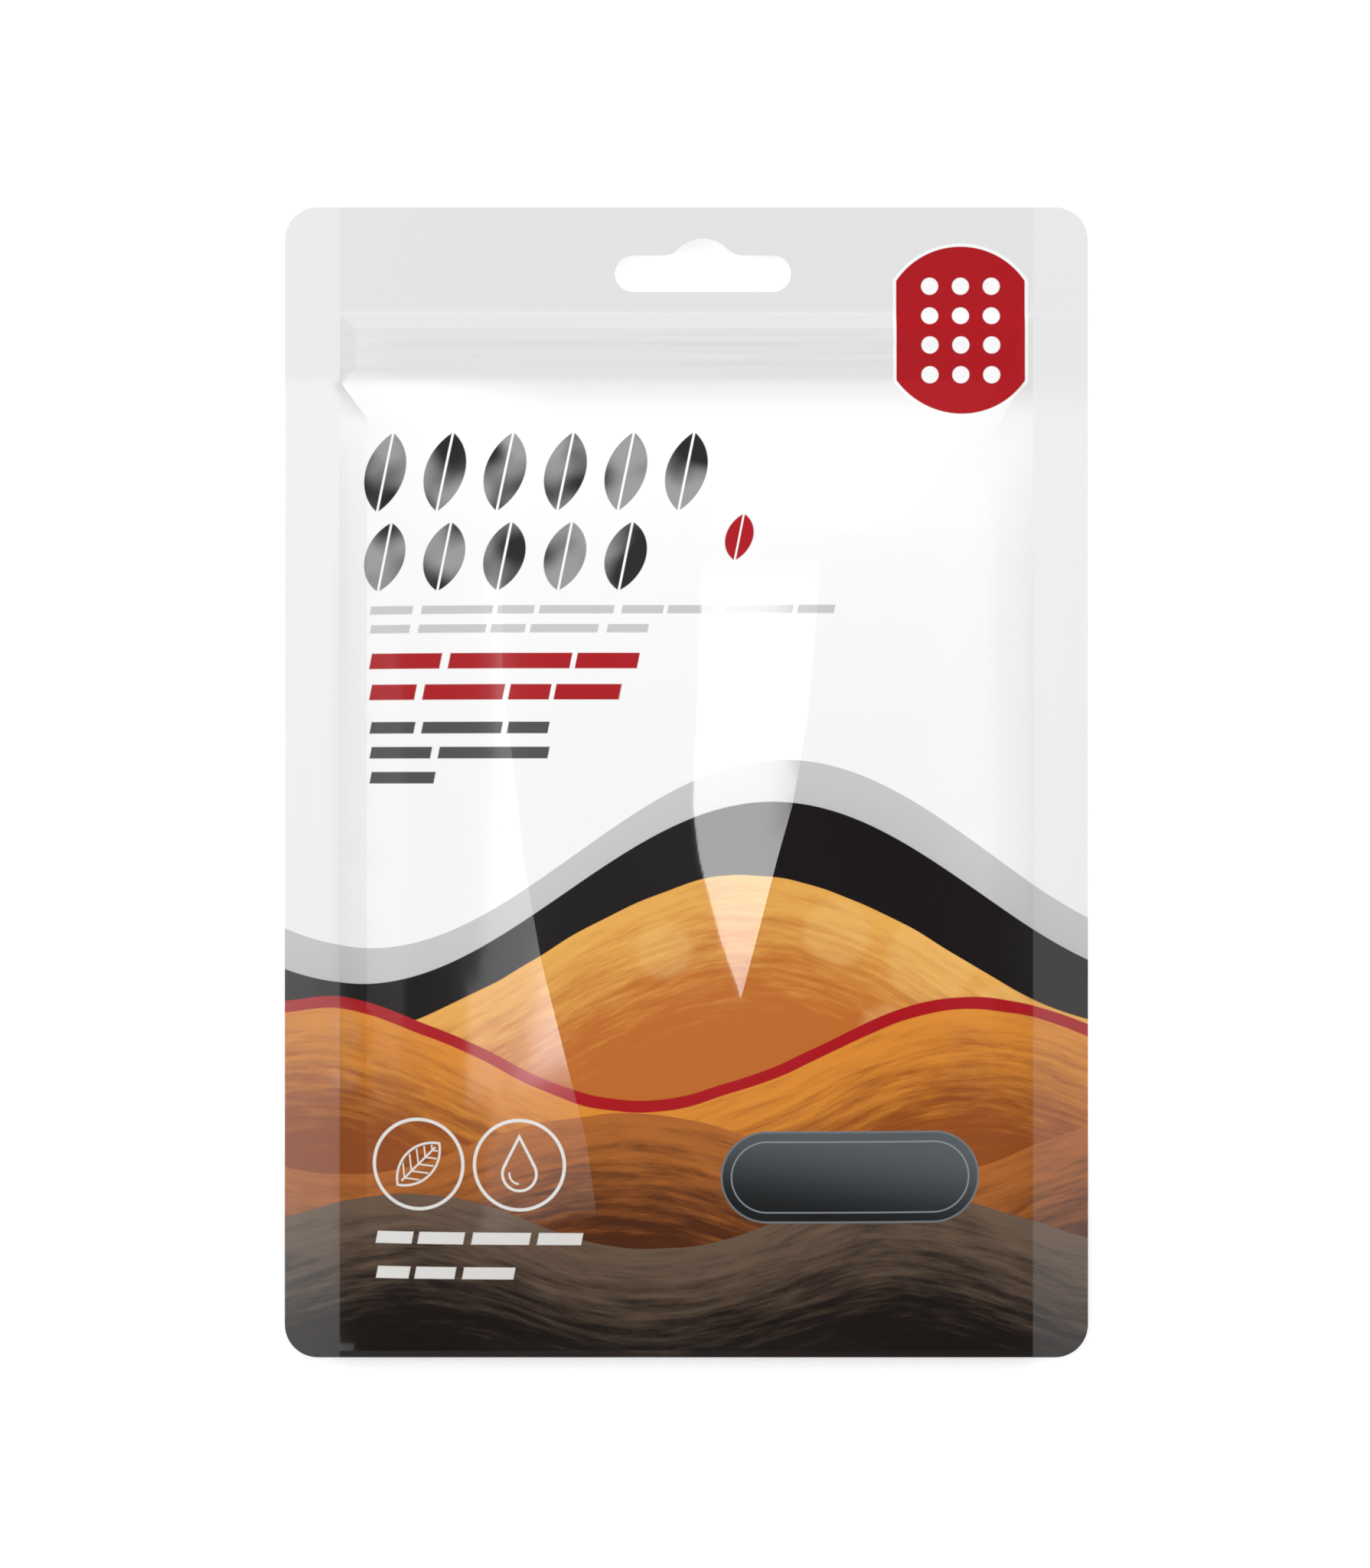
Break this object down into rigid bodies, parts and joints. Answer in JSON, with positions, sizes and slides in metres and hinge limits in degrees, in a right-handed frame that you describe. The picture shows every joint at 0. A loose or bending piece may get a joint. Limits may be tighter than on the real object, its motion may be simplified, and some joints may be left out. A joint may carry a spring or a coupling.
{
  "type": "resealable hang-hole pouch of dried indian almond leaves",
  "caption": "Flat resealable retail pouch of glossy printed film with a hang hole and a zip, closed and filled with dried Indian almond leaves, lying on its back.",
  "frame": {"origin": "centre of the pouch's 146 x 209 mm outline, on the surface that its back rests on", "axes": "+Y up the pouch from its folded bottom to its hang hole, +X to its right seen from the front, +Z out of its printed front"},
  "size_m": [0.146, 0.209, 0.0174],
  "materials": {
    "front_print": "gloss",
    "back_print": "gloss",
    "zip": "satin",
    "dried_leaf": "matte"
  },
  "bodies": {
    "root": {"front_film": "front_print", "back_film": "back_print", "zip_rib_strip": "zip", "zip_groove_strip": "zip", "leaf_01": "dried_leaf", "leaf_02": "dried_leaf", "leaf_03": "dried_leaf", "leaf_04": "dried_leaf", "leaf_05": "dried_leaf", "leaf_06": "dried_leaf", "leaf_07": "dried_leaf", "leaf_08": "dried_leaf", "leaf_09": "dried_leaf", "leaf_10": "dried_leaf", "leaf_11": "dried_leaf", "leaf_12": "dried_leaf"}
  },
  "joints": []
}
